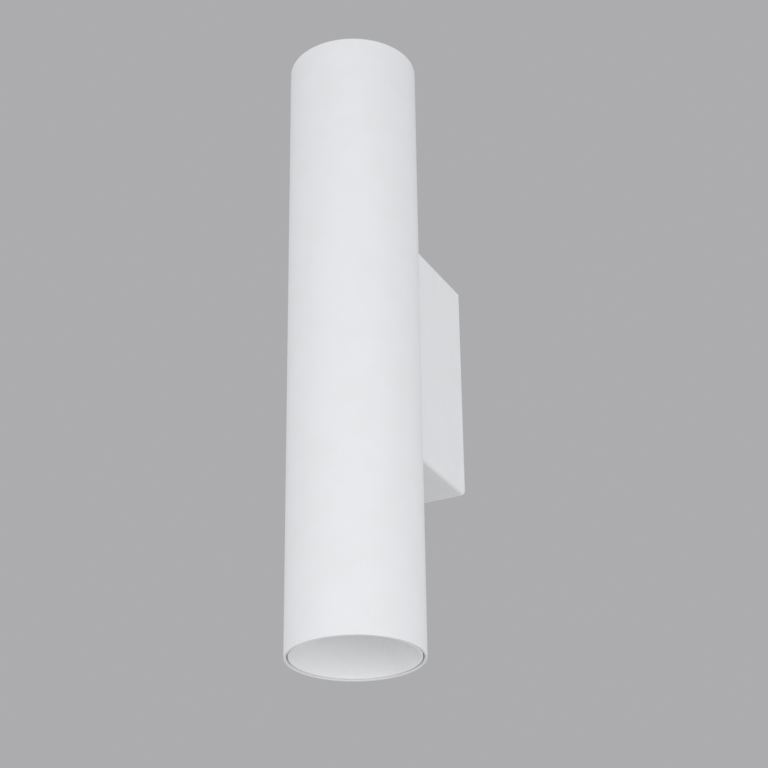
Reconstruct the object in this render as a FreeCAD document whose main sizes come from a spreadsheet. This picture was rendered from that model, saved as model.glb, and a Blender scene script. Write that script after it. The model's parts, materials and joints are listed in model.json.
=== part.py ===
import FreeCAD, Part
import math
import os
import re
import Sketcher
from FreeCAD import Placement, Rotation, Vector

# An up-and-down wall light. Lengths are in millimetres.
# The origin is the centre of the wall face at mid-height: +Z up, +Y into the wall, the tube towards -Y.
SIZES = {
    # tube
    "tubeDiameter": 60,
    "tubeLength": 296,
    "tubeWall": 1.2,
    "rimRounding": 0.35,
    "axisToWall": 64.5,
    # wall box
    "boxWidth": 47,
    "boxHeight": 107,
    "boxWall": 1.5,
    "boxCorner": 2,
    "webThickness": 2,
    "saddleClearance": 0.1,
    # wall plate
    "plateThickness": 1.5,
    "plateSideGap": 0.7,
    "plateEndGap": 0.2,
    "plateCorner": 1.5,
    "tabWidth": 20,
    "tabDepth": 20,
    "slotSpacing": 60,
    "slotLength": 10,
    "slotWidth": 4.5,
    "entryHole": 12,
    # bushes
    "bushBore": 9,
    "bushWall": 1.45,
    "bushFlange": 2,
    "bushFlangeThickness": 1.2,
    "bushClearance": 0.05,
    # screws that hold the box on the plate
    "boxScrewToWall": 12,
    "boxScrewDiameter": 3,
    "boxScrewLength": 6,
    "boxScrewHead": 5.6,
    "boxScrewHeadHeight": 1.6,
    "boxScrewHeadRounding": 0.65,
    # inner frame, and the screws and nuts that clamp box, tube and frame
    "strapThickness": 1.5,
    "strapWidth": 18,
    "strapClearance": 0.1,
    "shelfDiameter": 34,
    "shelfWireHole": 15,
    "frameScrewSpacing": 56,
    "frameScrewDiameter": 4,
    "frameScrewHead": 8,
    "frameScrewHeadHeight": 2.6,
    "washerDiameter": 8.6,
    "washerThickness": 0.8,
    "nutAcrossFlats": 7,
    "nutThickness": 3.2,
    "seatClearance": 0.05,
    "threadClearance": 0.05,
    "screwClearance": 0.2,
    "screwTail": 1,
    "recessWidth": 1,
    "recessLength": 3.2,
    "recessDepth": 0.9,
    # reflector and its clips
    "reflectorGap": 0.55,
    "reflectorInset": 0.5,
    "reflectorDepth": 30,
    "lipWidth": 1.05,
    "skirtDepth": 4,
    "coneNarrowing": 5.2,
    "collarWall": 2.4,
    "collarHeight": 5,
    "bowlRadius": 180,
    "clipCount": 3,
    "clipWidth": 6,
    "clipThickness": 0.4,
    "clipFootGap": 0.1,
    "clipTubeGap": 0.5,
    "clipBellyDepth": 14,
    "clipTipDepth": 10,
    "clipTipSet": 0.4,
    # lamp
    "lampGap": 0.6,
    "lampLength": 49,
    "lampRimWidth": 2,
    "lampRimHeight": 6,
    "lampConeHeight": 34,
    "lampNeckDiameter": 31,
    "lensDiameter": 46,
    "lensThickness": 2,
    "lensInset": 0.3,
    "lensClearance": 0.1,
    "pinSpacing": 10,
    "pinDiameter": 2.4,
    "pinShankLength": 5.8,
    "pinHeadDiameter": 4.8,
    "pinHeadHeight": 1.8,
    "unlockAngle": 25,
    # lampholder
    "holderGap": 0.4,
    "holderDiameter": 30,
    "holderHeight": 14,
    "holderFaceThickness": 3,
    "holderCavityDepth": 5.5,
    "holderCavityClearance": 0.4,
    "slotPinClearance": 0.3,
    "holderScrewSpacing": 22.4,
    "holderScrewDiameter": 3,
    "holderScrewHead": 5.4,
    "holderScrewHeadHeight": 1.8,
    "holderScrewTail": 3,
    "holderScrewRecess": 3.5,
    "contactDiameter": 4.4,
    "contactThickness": 1,
    # terminal block
    "blockBottom": 8.5,
    "blockHeight": 16,
    "blockWidth": 29,
    "blockBaseDepth": 8.5,
    "turretDepth": 4,
    "turretWidth": 7,
    "turretHeight": 14,
    "polePitch": 9,
    "poleToPlate": 5.5,
    "barrelDiameter": 5,
    "barrelBore": 3.9,
    "barrelLength": 14,
    "clampScrewDiameter": 3,
    "clampScrewPitch": 8,
    "clampScrewSink": 1,
    "clampScrewIntrusion": 0.95,
    "clampScrewSlot": 0.7,
    "blockScrewDiameter": 2.5,
    "blockScrewHead": 4,
    "blockScrewHeadHeight": 1.4,
    # leads
    "wireDiameter": 1.8,
    "wireHoleClearance": 0.4,
    "crimpWall": 0.5,
    "crimpLength": 5,
    "tagNeckLength": 5,
    "tagNeckWidth": 3,
    "doubleWireGap": 0.1,
    "wireEndDepth": 5,
    "leadLoopAboveBlock": 17,
    "leadLoopToWall": 20.5,
    "earthLoopAboveBlock": 20.5,
    "leadBelowShelf": 13,
    "leadBendX": 3.6,
    "leadBendToAxis": 12.5,
    "leadBendHeight": 20,
    "leadTurnToAxis": 15.5,
    "bushLeadX": 2.6,
    "bushLeadHeight": 1.6,
    "upperTurnToWall": 24,
    "upperRiseX": 6.6,
    "upperRiseToWall": 20.5,
    "lowerTurnToWall": 20.4,
    "lowerRiseX": 10.6,
    "lowerRiseToWall": 17.6,
}

# Places that several pieces share, worked out from the sizes above.
TUBE_RADIUS = "(tubeDiameter / 2)"
TUBE_BORE = "(tubeDiameter / 2 - tubeWall)"
TUBE_END = "(tubeLength / 2)"
MOUTH_LEVEL = "(tubeLength / 2 - reflectorInset)"
SADDLE = "(tubeDiameter / 2 + saddleClearance)"
WEB_REAR = "(tubeDiameter / 2 + saddleClearance + webThickness)"
CAVITY_WIDTH = "(boxWidth - 2 * boxWall)"
CAVITY_HEIGHT = "(boxHeight - 2 * boxWall)"
PLATE_WIDTH = f"({CAVITY_WIDTH} - 2 * plateSideGap)"
PLATE_HEIGHT = f"({CAVITY_HEIGHT} - 2 * plateEndGap)"
STRAP_OUTER = f"({TUBE_BORE} - strapClearance)"
STRAP_INNER = f"({STRAP_OUTER} - strapThickness)"
BUSH_OUTER = "(bushBore / 2 + bushWall)"
LEAD_HOLE = f"({BUSH_OUTER} + bushClearance)"
THROAT = "(tubeLength / 2 - reflectorDepth)"
REFLECTOR_OUTER = f"({TUBE_BORE} - reflectorGap)"
MOUTH_RADIUS = f"({REFLECTOR_OUTER} - lipWidth)"
THROAT_RADIUS = f"({MOUTH_RADIUS} - coneNarrowing)"
COLLAR = f"({THROAT_RADIUS} + collarWall)"
LAMP_RADIUS = "(lensDiameter / 2 + lampRimWidth)"
LAMP_TOP = f"({THROAT} - lampGap)"
LAMP_BASE = f"({LAMP_TOP} - lampLength)"
HOLDER_FACE = f"({LAMP_BASE} - holderGap)"
HOLDER_CAVITY_TOP = f"({HOLDER_FACE} - holderFaceThickness)"
HOLDER_CAVITY_FLOOR = f"({HOLDER_CAVITY_TOP} - holderCavityDepth)"
SHELF_TOP = f"({HOLDER_FACE} - holderHeight)"
SHELF_BOTTOM = f"({SHELF_TOP} - strapThickness)"
HEAD_SEAT = f"({WEB_REAR} + seatClearance + washerThickness)"
NUT_CORNER = "(nutAcrossFlats / sqrt(3))"
NUT_SEAT = f"(sqrt({STRAP_INNER} ^ 2 - {NUT_CORNER} ^ 2) - seatClearance)"
BLOCK_MIDDLE = "(blockBottom + blockHeight / 2)"
BLOCK_TOP = "(blockBottom + blockHeight)"
POLE_Y = "(-(plateThickness + poleToPlate))"
BASE_FRONT = "(plateThickness + blockBaseDepth)"
TURRET_FRONT = "(plateThickness + blockBaseDepth + turretDepth)"
CRIMP_Y = f"(-axisToWall + {WEB_REAR} + seatClearance + wireDiameter / 2 + crimpWall)"
CRIMP_BOTTOM = "(frameScrewSpacing / 2 + tagNeckLength)"
LEAD_END = f"({BLOCK_MIDDLE} + barrelLength / 2 - wireEndDepth)"

# Places of what repeats: screws in pairs, and the terminal block's poles with two screws each.
UPPER_FRAME_SCREW = ("0", "frameScrewSpacing / 2")
LOWER_FRAME_SCREW = ("0", "-frameScrewSpacing / 2")
BLOCK_FIXINGS = (("-polePitch / 2", "0"), ("polePitch / 2", "0"))
POLES = ("-polePitch", "0", "polePitch")
CLAMP_PLACES = [(pole, f"{row} * clampScrewPitch / 2") for pole in POLES for row in (-1, 1)]
PINS = (("pinSpacing / 2", "0"), ("-pinSpacing / 2", "0"))
HOLDER_SCREWS = (("0", "holderScrewSpacing / 2"), ("0", "-holderScrewSpacing / 2"))

# How near an edge must be to the place or direction that it is looked for at.
TOLERANCE = 1e-4

# A bend in a lead takes this share of the shorter run beside it.
BEND_SHARE = 0.45

document = FreeCAD.newDocument("TubeWallLight")
sheet = document.addObject("Spreadsheet::Sheet", "Dimensions")
for row, (alias, size) in enumerate(SIZES.items(), start=1):
    sheet.set(f"A{row}", alias)
    sheet.set(f"B{row}", str(size))
    sheet.setAlias(f"B{row}", alias)
document.recompute()


# Formulas

def bound(formula):
    """The formula with each size's name pointing at its cell."""
    return re.sub(r"[A-Za-z]\w*", lambda word: cell_name(word.group()), formula)


def cell_name(word):
    return f"Dimensions.{word}" if word in SIZES else word


def number(formula):
    return float(sheet.evalExpression(bound(formula)))


def bind(thing, path, formula):
    thing.setExpression(path, bound(formula))


# Sketches and features

def new_body(label, y="0", z="0", flipped=False):
    """A sub-part with its own frame; flipped turns it end for end about X."""
    body = document.addObject("PartDesign::Body", label)
    body.Label = label
    if flipped:
        body.Placement = Placement(Vector(), Rotation(Vector(1, 0, 0), 180))
    bind(body, "Placement.Base.y", y)
    bind(body, "Placement.Base.z", z)
    return body


def origin_feature(body, role):
    return next(item for item in body.Origin.OriginFeatures if item.Role == role)


def new_sketch(body, plane, level="0"):
    """A sketch on an origin plane, moved to the level along the plane's own +X, +Y or +Z."""
    sketch = body.newObject("Sketcher::SketchObject", f"{body.Name}Sketch")
    sketch.AttachmentSupport = (origin_feature(body, f"{plane}_Plane"), [""])
    sketch.MapMode = "FlatFace"
    # the XZ plane faces -Y
    bind(sketch, "AttachmentOffset.Base.z", f"-({level})" if plane == "XZ" else level)
    return sketch


def fix_point(sketch, geometry, point, x, y):
    for kind, formula in (("DistanceX", x), ("DistanceY", y)):
        index = sketch.addConstraint(Sketcher.Constraint(kind, -1, 1, geometry, point, number(formula)))
        bind(sketch, f"Constraints[{index}]", formula)


def fix_radius(sketch, geometry, radius):
    index = sketch.addConstraint(Sketcher.Constraint("Radius", geometry, number(radius)))
    bind(sketch, f"Constraints[{index}]", radius)


def draw_circles(sketch, centres, radius):
    for x, y in centres:
        circle = Part.Circle(Vector(number(x), number(y), 0), Vector(0, 0, 1), number(radius))
        geometry = sketch.addGeometry(circle, False)
        fix_point(sketch, geometry, 3, x, y)
        fix_radius(sketch, geometry, radius)


def arc_between(start, end, radius, side):
    """The shorter arc from start to end; side 1 bulges to the left of the way, -1 to the right."""
    along = end - start
    left = Vector(-along.y, along.x, 0).normalize() * side
    sagitta = radius - math.sqrt(radius ** 2 - along.Length ** 2 / 4)
    return Part.Arc(start, (start + end) / 2 + left * sagitta, end)


def draw_outline(sketch, corners, arcs=None):
    """A closed outline through the corners. arcs gives an edge's radius and the side that it bulges to."""
    arcs = arcs or {}
    points = [Vector(number(x), number(y), 0) for x, y in corners]
    ends = []
    for index, start in enumerate(points):
        end = points[(index + 1) % len(points)]
        if index in arcs:
            radius, side = arcs[index]
            geometry = sketch.addGeometry(arc_between(start, end, number(radius), side), False)
            # an arc runs counter-clockwise, so one that bulges to the left is stored from its far end
            ends.append((geometry, 2, 1) if side > 0 else (geometry, 1, 2))
            fix_radius(sketch, geometry, radius)
        else:
            geometry = sketch.addGeometry(Part.LineSegment(start, end), False)
            ends.append((geometry, 1, 2))
    for index, (x, y) in enumerate(corners):
        geometry, first, _ = ends[index]
        previous, _, last = ends[index - 1]
        sketch.addConstraint(Sketcher.Constraint("Coincident", previous, last, geometry, first))
        fix_point(sketch, geometry, first, x, y)


def draw_rectangle(sketch, left, right, low, high):
    draw_outline(sketch, [(left, low), (right, low), (right, high), (left, high)])


def finish_feature(body, feature, removes=False):
    before = 0 if body.Shape.isNull() else body.Shape.Volume
    document.recompute()
    if removes and body.Shape.Volume >= before:
        raise RuntimeError(f"{feature.Name} removes nothing")
    return feature


def pad(body, sketch, length, both=False, reverse=False):
    feature = body.newObject("PartDesign::Pad", f"{body.Name}Pad")
    feature.Profile = sketch
    feature.Midplane = both
    feature.Reversed = reverse
    bind(feature, "Length", length)
    return finish_feature(body, feature)


def pocket(body, sketch, length=None, both=False, reverse=False):
    """A cut against the sketch's normal, through everything where no length is given."""
    feature = body.newObject("PartDesign::Pocket", f"{body.Name}Pocket")
    feature.Profile = sketch
    feature.Midplane = both
    feature.Reversed = reverse
    if length is None:
        feature.Type = "ThroughAll"
    else:
        bind(feature, "Length", length)
    return finish_feature(body, feature, removes=True)


def revolve(body, sketch, removes=False):
    kind = "PartDesign::Groove" if removes else "PartDesign::Revolution"
    feature = body.newObject(kind, f"{body.Name}Turn")
    feature.Profile = sketch
    feature.ReferenceAxis = (origin_feature(body, "Z_Axis"), [""])
    feature.Angle = 360
    return finish_feature(body, feature, removes)


def fillet(body, radius, chosen):
    """Rounds each edge for which chosen says yes."""
    base = body.Tip
    names = [f"Edge{n}" for n, edge in enumerate(base.Shape.Edges, start=1) if chosen(edge)]
    feature = body.newObject("PartDesign::Fillet", f"{body.Name}Fillet")
    feature.Base = (base, names)
    bind(feature, "Radius", radius)
    return finish_feature(body, feature)


def mirror(body, features, plane):
    feature = body.newObject("PartDesign::Mirrored", f"{body.Name}Mirror")
    feature.Originals = features
    feature.MirrorPlane = (origin_feature(body, f"{plane}_Plane"), [""])
    body.Tip = feature
    return finish_feature(body, feature)


def mirror_whole(body, plane):
    """Adds the mirror image of all that the body holds so far."""
    mirror(body, [item for item in body.Group if item.isDerivedFrom("PartDesign::Feature")], plane)
    return body


def is_along_y(edge):
    return isinstance(edge.Curve, Part.Line) and abs(edge.Curve.Direction.y) > 1 - TOLERANCE


def is_level(edge, z):
    return abs(edge.BoundBox.ZMin - z) < TOLERANCE and abs(edge.BoundBox.ZMax - z) < TOLERANCE


# Housing

def make_tube_body():
    body = new_body("tube_body", y="-axisToWall")
    ring = new_sketch(body, "XY")
    draw_circles(ring, [("0", "0")], TUBE_RADIUS)
    draw_circles(ring, [("0", "0")], TUBE_BORE)
    pad(body, ring, "tubeLength", both=True)
    end = number(TUBE_END)
    fillet(body, "rimRounding", lambda edge: is_level(edge, end) or is_level(edge, -end))
    cut_back_holes(body)
    return body


def cut_back_holes(body):
    """The lead hole and the two screw holes, from the tube's axis to the back."""
    lead_hole = new_sketch(body, "XZ")
    draw_circles(lead_hole, [("0", "0")], LEAD_HOLE)
    pocket(body, lead_hole)
    screw_holes = new_sketch(body, "XZ")
    places = (UPPER_FRAME_SCREW, LOWER_FRAME_SCREW)
    draw_circles(screw_holes, places, "frameScrewDiameter / 2 + screwClearance")
    pocket(body, screw_holes)


def make_wall_box():
    """A shell open at the back, with a web at the front that is hollowed to the tube."""
    body = new_body("wall_box", y="-axisToWall")
    block = new_sketch(body, "XZ", "axisToWall")
    draw_rectangle(block, "-boxWidth / 2", "boxWidth / 2", "-boxHeight / 2", "boxHeight / 2")
    pad(body, block, "axisToWall")
    fillet(body, "boxCorner", is_along_y)
    saddle = new_sketch(body, "XY")
    draw_circles(saddle, [("0", "0")], SADDLE)
    pocket(body, saddle, both=True)
    cavity = new_sketch(body, "XY")
    side = f"{CAVITY_WIDTH} / 2"
    shoulder = f"sqrt({WEB_REAR} ^ 2 - ({side}) ^ 2)"
    corners = [(side, shoulder), (side, "axisToWall"), (f"-{side}", "axisToWall"), (f"-{side}", shoulder)]
    draw_outline(cavity, corners, arcs={3: (WEB_REAR, 1)})
    pocket(body, cavity, CAVITY_HEIGHT, both=True)
    cut_back_holes(body)
    end_holes = new_sketch(body, "XY")
    draw_circles(end_holes, [("0", "axisToWall - boxScrewToWall")], "boxScrewDiameter / 2 + screwClearance")
    pocket(body, end_holes, both=True)
    return body


def make_wall_plate():
    """A flat plate with a tab bent forward at each end."""
    body = new_body("wall_plate")
    outline = new_sketch(body, "XZ")
    side = f"{PLATE_WIDTH} / 2"
    end = f"{PLATE_HEIGHT} / 2"
    draw_rectangle(outline, f"-{side}", side, f"-{end}", end)
    pad(body, outline, "plateThickness")
    fillet(body, "plateCorner", is_along_y)
    tab = new_sketch(body, "XZ")
    draw_rectangle(tab, "-tabWidth / 2", "tabWidth / 2", f"{end} - plateThickness", end)
    upper_tab = pad(body, tab, "tabDepth")
    mirror(body, [upper_tab], "XY")
    holes = new_sketch(body, "XZ")
    draw_circles(holes, [("0", "0")], "entryHole / 2")
    block_screws = [(x, f"{BLOCK_MIDDLE} + {z}") for x, z in BLOCK_FIXINGS]
    draw_circles(holes, block_screws, "blockScrewDiameter / 2 + threadClearance")
    draw_slot(holes, "slotSpacing / 2")
    draw_slot(holes, "-slotSpacing / 2")
    pocket(body, holes, both=True)
    tab_holes = new_sketch(body, "XY")
    draw_circles(tab_holes, [("0", "-boxScrewToWall")], "boxScrewDiameter / 2 + threadClearance")
    pocket(body, tab_holes, both=True)
    return body


def draw_slot(sketch, middle):
    """An upright slot with round ends, about the given height."""
    half = "slotWidth / 2"
    straight = "(slotLength - slotWidth) / 2"
    low = f"{middle} - {straight}"
    high = f"{middle} + {straight}"
    # each round end is two quarter arcs
    corners = [
        (half, low),
        (half, high),
        ("0", f"{high} + {half}"),
        (f"-{half}", high),
        (f"-{half}", low),
        ("0", f"{low} - {half}"),
    ]
    draw_outline(sketch, corners, arcs={index: (half, -1) for index in (1, 2, 4, 5)})


def make_bush(label, y, barrel, flange_behind):
    """A flanged sleeve. y is the flange's seat, and the barrel runs from it through the hole."""
    body = new_body(label, y=y)
    for radius, length, backwards in (
        (BUSH_OUTER, barrel, not flange_behind),
        (f"{BUSH_OUTER} + bushFlange", "bushFlangeThickness", flange_behind),
    ):
        ring = new_sketch(body, "XZ")
        draw_circles(ring, [("0", "0")], radius)
        draw_circles(ring, [("0", "0")], "bushBore / 2")
        pad(body, ring, length, reverse=backwards)
    return body


# Fasteners

def cut_cross(body, plane, level, x, y, reverse=False):
    """A cross recess, cut as two grooves through one screw head's face."""
    for wide, tall in (("recessWidth / 2", "recessLength / 2"), ("recessLength / 2", "recessWidth / 2")):
        groove = new_sketch(body, plane, level)
        draw_rectangle(groove, f"{x} - {wide}", f"{x} + {wide}", f"{y} - {tall}", f"{y} + {tall}")
        pocket(body, groove, "recessDepth", reverse=reverse)


def make_box_screws():
    """Two round-headed screws, down through the box's top and up through its bottom."""
    body = new_body("box_screws")
    seat = "boxHeight / 2"
    top = f"({seat} + boxScrewHeadHeight)"
    place = ("0", "-boxScrewToWall")
    head = new_sketch(body, "XY", seat)
    draw_circles(head, [place], "boxScrewHead / 2")
    pad(body, head, "boxScrewHeadHeight")
    fillet(body, "boxScrewHeadRounding", lambda edge: is_level(edge, number(top)))
    cut_cross(body, "XY", top, *place)
    shank = new_sketch(body, "XY", seat)
    draw_circles(shank, [place], "boxScrewDiameter / 2")
    pad(body, shank, "boxScrewLength", reverse=True)
    return mirror_whole(body, "XY")


def make_frame_screws():
    """Two screws through web, tube and strap, with their heads in the wall box."""
    body = new_body("frame_screws", y="-axisToWall")
    head = new_sketch(body, "XZ", HEAD_SEAT)
    draw_circles(head, [UPPER_FRAME_SCREW], "frameScrewHead / 2")
    pad(body, head, "frameScrewHeadHeight", reverse=True)
    cut_cross(body, "XZ", f"{HEAD_SEAT} + frameScrewHeadHeight", *UPPER_FRAME_SCREW, reverse=True)
    shank = new_sketch(body, "XZ", HEAD_SEAT)
    draw_circles(shank, [UPPER_FRAME_SCREW], "frameScrewDiameter / 2")
    pad(body, shank, f"{HEAD_SEAT} - {NUT_SEAT} + nutThickness + screwTail")
    return mirror_whole(body, "XY")


def make_frame_nuts():
    body = new_body("frame_nuts", y="-axisToWall")
    nut = new_sketch(body, "XZ", NUT_SEAT)
    x, z = UPPER_FRAME_SCREW
    turns = [f"{60 * corner} deg" for corner in range(6)]
    corners = [(f"{x} + {NUT_CORNER} * cos({turn})", f"{z} + {NUT_CORNER} * sin({turn})") for turn in turns]
    draw_outline(nut, corners)
    draw_circles(nut, [UPPER_FRAME_SCREW], "frameScrewDiameter / 2 + threadClearance")
    pad(body, nut, "nutThickness")
    return mirror_whole(body, "XY")


def make_frame_washer():
    body = new_body("frame_washer", y="-axisToWall")
    ring = new_sketch(body, "XZ", f"{WEB_REAR} + seatClearance")
    draw_circles(ring, [LOWER_FRAME_SCREW], "washerDiameter / 2")
    draw_circles(ring, [LOWER_FRAME_SCREW], "frameScrewDiameter / 2 + screwClearance")
    pad(body, ring, "washerThickness", reverse=True)
    return body


def make_earth_tag():
    """A ring tag with a neck that carries a crimp barrel."""
    body = new_body("earth_tag", y="-axisToWall")
    seat = f"{WEB_REAR} + seatClearance"
    ring = new_sketch(body, "XZ", seat)
    draw_circles(ring, [UPPER_FRAME_SCREW], "washerDiameter / 2")
    pad(body, ring, "washerThickness", reverse=True)
    neck = new_sketch(body, "XZ", seat)
    neck_side = "tagNeckWidth / 2"
    draw_rectangle(neck, f"-{neck_side}", neck_side, "frameScrewSpacing / 2", f"{CRIMP_BOTTOM} + crimpLength")
    pad(body, neck, "crimpWall", reverse=True)
    crimp = new_sketch(body, "XY", CRIMP_BOTTOM)
    crimp_centre = [("0", f"{CRIMP_Y} + axisToWall")]
    draw_circles(crimp, crimp_centre, "wireDiameter / 2 + crimpWall")
    pad(body, crimp, "crimpLength")
    bore = new_sketch(body, "XY", CRIMP_BOTTOM)
    draw_circles(bore, crimp_centre, "wireDiameter / 2 + seatClearance")
    pocket(body, bore, "crimpLength", reverse=True)
    hole = new_sketch(body, "XZ")
    draw_circles(hole, [UPPER_FRAME_SCREW], "frameScrewDiameter / 2 + screwClearance")
    pocket(body, hole)
    return body


# Inner frame and terminal block

def make_inner_frame():
    """A rolled strap along the back of the tube's bore, with a round shelf bent forward near each lamp."""
    body = new_body("inner_frame", y="-axisToWall")
    strap = new_sketch(body, "XY")
    half = "strapWidth / 2"
    outer = f"sqrt({STRAP_OUTER} ^ 2 - ({half}) ^ 2)"
    inner = f"sqrt({STRAP_INNER} ^ 2 - ({half}) ^ 2)"
    corners = [(half, inner), (half, outer), (f"-{half}", outer), (f"-{half}", inner)]
    draw_outline(strap, corners, arcs={1: (STRAP_OUTER, -1), 3: (STRAP_INNER, 1)})
    pad(body, strap, f"2 * {SHELF_TOP}", both=True)
    neck = new_sketch(body, "XY", SHELF_BOTTOM)
    draw_rectangle(neck, f"-{half}", half, "0", f"{inner} + strapThickness / 2")
    features = [pad(body, neck, "strapThickness")]
    disc = new_sketch(body, "XY", SHELF_BOTTOM)
    draw_circles(disc, [("0", "0")], "shelfDiameter / 2")
    features.append(pad(body, disc, "strapThickness"))
    mirror(body, features, "XY")
    holes = new_sketch(body, "XY")
    draw_circles(holes, [("0", "0")], "shelfWireHole / 2")
    draw_circles(holes, HOLDER_SCREWS, "holderScrewDiameter / 2 + threadClearance")
    pocket(body, holes, both=True)
    cut_back_holes(body)
    return body


def make_terminal_block():
    """An insulating block with a turret over each of its three poles."""
    body = new_body("terminal_block", z=BLOCK_MIDDLE)
    base = new_sketch(body, "XZ", "-plateThickness")
    draw_rectangle(base, "-blockWidth / 2", "blockWidth / 2", "-blockHeight / 2", "blockHeight / 2")
    pad(body, base, "blockBaseDepth")
    turrets = new_sketch(body, "XZ", f"-{BASE_FRONT}")
    for pole in POLES:
        left = f"{pole} - turretWidth / 2"
        right = f"{pole} + turretWidth / 2"
        draw_rectangle(turrets, left, right, "-turretHeight / 2", "turretHeight / 2")
    pad(body, turrets, "turretDepth")
    bores = new_sketch(body, "XY")
    draw_circles(bores, [(pole, POLE_Y) for pole in POLES], "barrelDiameter / 2 + seatClearance")
    pocket(body, bores, both=True)
    clamp_holes = new_sketch(body, "XZ", POLE_Y)
    draw_circles(clamp_holes, CLAMP_PLACES, "clampScrewDiameter / 2 + threadClearance")
    pocket(body, clamp_holes, reverse=True)
    fixing_holes = new_sketch(body, "XZ")
    draw_circles(fixing_holes, BLOCK_FIXINGS, "blockScrewDiameter / 2 + threadClearance")
    pocket(body, fixing_holes, reverse=True)
    head_room = new_sketch(body, "XZ", f"-{TURRET_FRONT}")
    draw_circles(head_room, BLOCK_FIXINGS, "blockScrewHead / 2 + screwClearance")
    pocket(body, head_room, "turretDepth + blockScrewHeadHeight")
    return body


def make_terminal_barrels():
    body = new_body("terminal_barrels", z=BLOCK_MIDDLE)
    barrels = new_sketch(body, "XY")
    centres = [(pole, POLE_Y) for pole in POLES]
    draw_circles(barrels, centres, "barrelDiameter / 2")
    draw_circles(barrels, centres, "barrelBore / 2")
    pad(body, barrels, "barrelLength", both=True)
    holes = new_sketch(body, "XZ", POLE_Y)
    draw_circles(holes, CLAMP_PLACES, "clampScrewDiameter / 2 + threadClearance")
    pocket(body, holes, reverse=True)
    return body


def make_terminal_screws():
    """Slotted grub screws that press into the barrels from the front."""
    body = new_body("terminal_screws", z=BLOCK_MIDDLE)
    tip = f"({POLE_Y} - barrelBore / 2 + clampScrewIntrusion)"
    front = f"(-{TURRET_FRONT} + clampScrewSink)"
    screws = new_sketch(body, "XZ", tip)
    draw_circles(screws, CLAMP_PLACES, "clampScrewDiameter / 2")
    pad(body, screws, f"{tip} - {front}")
    slots = new_sketch(body, "XZ", front)
    across = "clampScrewDiameter"
    half = "clampScrewSlot / 2"
    for x, z in CLAMP_PLACES:
        draw_rectangle(slots, f"{x} - {across}", f"{x} + {across}", f"{z} - {half}", f"{z} + {half}")
    pocket(body, slots, "recessDepth")
    return body


def make_block_screws():
    body = new_body("block_screws", z=BLOCK_MIDDLE)
    seat = f"(-{BASE_FRONT} + blockScrewHeadHeight)"
    heads = new_sketch(body, "XZ", seat)
    draw_circles(heads, BLOCK_FIXINGS, "blockScrewHead / 2")
    pad(body, heads, "blockScrewHeadHeight")
    shanks = new_sketch(body, "XZ", seat)
    draw_circles(shanks, BLOCK_FIXINGS, "blockScrewDiameter / 2")
    pad(body, shanks, f"-{seat}", reverse=True)
    for x, z in BLOCK_FIXINGS:
        cut_cross(body, "XZ", f"-{BASE_FRONT}", x, z)
    return body


# One lamp end. Each piece is drawn for the upper end, and turned end for end for the lower one.

def end_body(name, end):
    return new_body(f"{name}_{end}", y="-axisToWall", flipped=end == "lower")


def make_lampholder(end):
    """A round ceramic block: keyhole slots in its face, a cavity for the pin heads, and two screw holes."""
    body = end_body("lampholder", end)
    disc = new_sketch(body, "XY", SHELF_TOP)
    draw_circles(disc, [("0", "0")], "holderDiameter / 2")
    pad(body, disc, "holderHeight")
    cavity = new_sketch(body, "XZ")
    reach = "pinHeadDiameter / 2 + holderCavityClearance"
    near = f"pinSpacing / 2 - ({reach})"
    far = f"pinSpacing / 2 + ({reach})"
    draw_rectangle(cavity, near, far, HOLDER_CAVITY_FLOOR, HOLDER_CAVITY_TOP)
    revolve(body, cavity, removes=True)
    for turn, radius in (("0", "pinDiameter / 2"), ("unlockAngle", "pinHeadDiameter / 2")):
        slots = new_sketch(body, "XY", HOLDER_FACE)
        x = f"pinSpacing / 2 * cos({turn} * 1 deg)"
        y = f"pinSpacing / 2 * sin({turn} * 1 deg)"
        draw_circles(slots, [(x, y), (f"-{x}", f"-{y}")], f"{radius} + slotPinClearance")
        pocket(body, slots, "holderFaceThickness")
    wire_holes = new_sketch(body, "XY", SHELF_TOP)
    draw_circles(wire_holes, PINS, "wireDiameter / 2 + wireHoleClearance")
    pocket(body, wire_holes, f"{HOLDER_CAVITY_FLOOR} - {SHELF_TOP}", reverse=True)
    screw_holes = new_sketch(body, "XY", HOLDER_FACE)
    draw_circles(screw_holes, HOLDER_SCREWS, "holderScrewDiameter / 2 + screwClearance")
    pocket(body, screw_holes)
    recesses = new_sketch(body, "XY", HOLDER_FACE)
    draw_circles(recesses, HOLDER_SCREWS, "holderScrewHead / 2 + screwClearance")
    pocket(body, recesses, "holderScrewRecess")
    return body


def make_holder_contacts(end):
    body = end_body("holder_contacts", end)
    discs = new_sketch(body, "XY", HOLDER_CAVITY_FLOOR)
    draw_circles(discs, PINS, "contactDiameter / 2")
    pad(body, discs, "contactThickness")
    return body


def make_holder_screws(end):
    body = end_body("holder_screws", end)
    seat = f"({HOLDER_FACE} - holderScrewRecess)"
    heads = new_sketch(body, "XY", seat)
    draw_circles(heads, HOLDER_SCREWS, "holderScrewHead / 2")
    pad(body, heads, "holderScrewHeadHeight")
    shanks = new_sketch(body, "XY", seat)
    draw_circles(shanks, HOLDER_SCREWS, "holderScrewDiameter / 2")
    pad(body, shanks, f"{seat} - {SHELF_BOTTOM} + holderScrewTail", reverse=True)
    for x, y in HOLDER_SCREWS:
        cut_cross(body, "XY", f"{seat} + holderScrewHeadHeight", x, y)
    return body


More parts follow.
